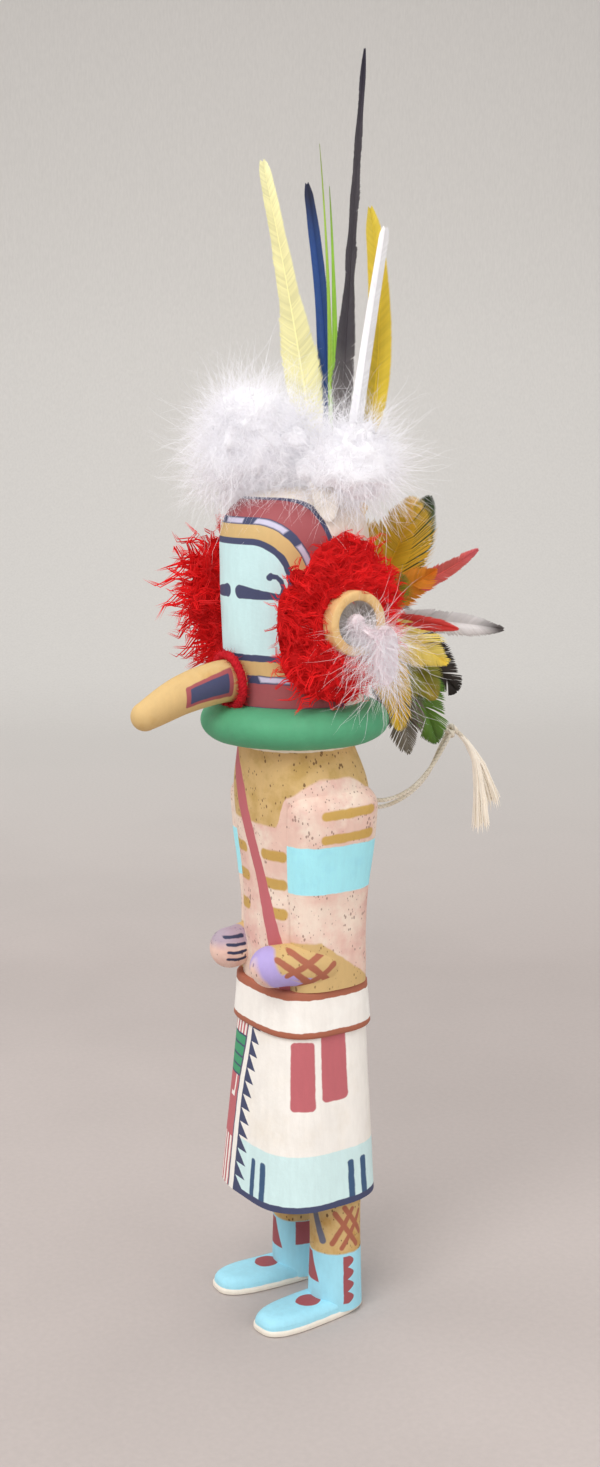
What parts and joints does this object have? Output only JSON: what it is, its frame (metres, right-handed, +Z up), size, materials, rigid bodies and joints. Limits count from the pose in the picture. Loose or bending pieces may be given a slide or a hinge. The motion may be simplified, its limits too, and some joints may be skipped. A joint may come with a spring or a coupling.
{
  "type": "kachina doll",
  "caption": "Carved and painted standing doll in a case mask with a drooping snout, a round ruff, a kilt, wool hair, white down, tall plumes, a bunch of feathers behind and a hanging string.",
  "frame": {"origin": "middle of the bounding box without the string, on the surface that the soles stand on", "axes": "+Z up, the doll faces -Y and its left side is +X"},
  "size_m": [0.1054, 0.1572, 0.4429],
  "materials": {
    "painted_wood": "thin matt paint over pale carved wood",
    "painted_snout": "matt ochre paint on wood",
    "ear_wood": "thin matt paint on wood",
    "red_yarn": "spun yarn",
    "red_wool": "teased wool",
    "white_down": "soft down",
    "cotton": "twisted cotton twine",
    "feather_cream": "feather vane",
    "feather_navy": "feather vane",
    "feather_green": "feather vane",
    "feather_dark_green": "feather vane",
    "feather_black": "feather vane",
    "feather_yellow": "feather vane",
    "feather_white": "feather vane",
    "feather_red": "feather vane",
    "feather_orange": "feather vane",
    "feather_grey": "feather vane"
  },
  "bodies": {
    "root": {"figure": "painted_wood", "snout": "painted_snout", "snout_ring": "red_yarn", "ear_left": "ear_wood", "ear_right": "ear_wood", "ear_down_left": "white_down", "ear_down_right": "white_down", "wool_left": "red_wool", "wool_right": "red_wool", "crown_down_front": "white_down", "crown_down_left": "white_down", "crown_down_right": "white_down", "plume_cream": "feather_cream", "plume_navy": "feather_navy", "plume_green_long": "feather_green", "plume_green_short": "feather_green", "plume_black": "feather_black", "plume_yellow": "feather_yellow", "plume_white": "feather_white", "back_mustard": "feather_yellow", "back_dark_green": "feather_dark_green", "back_pink_red": "feather_red", "back_orange": "feather_orange", "back_bright_green": "feather_green", "back_long_grey": "feather_grey", "back_red": "feather_red", "back_pale_yellow": "feather_cream", "back_black": "feather_black", "back_olive": "feather_green", "back_green": "feather_dark_green", "back_yellow": "feather_yellow", "back_grey": "feather_grey", "back_right_mustard": "feather_yellow", "back_right_green": "feather_dark_green", "back_right_red": "feather_red", "back_right_grey": "feather_grey", "back_right_yellow": "feather_yellow", "back_right_olive": "feather_green", "back_right_black": "feather_black", "string_left": "cotton", "string_right": "cotton", "string_knot": "cotton"}
  },
  "joints": []
}
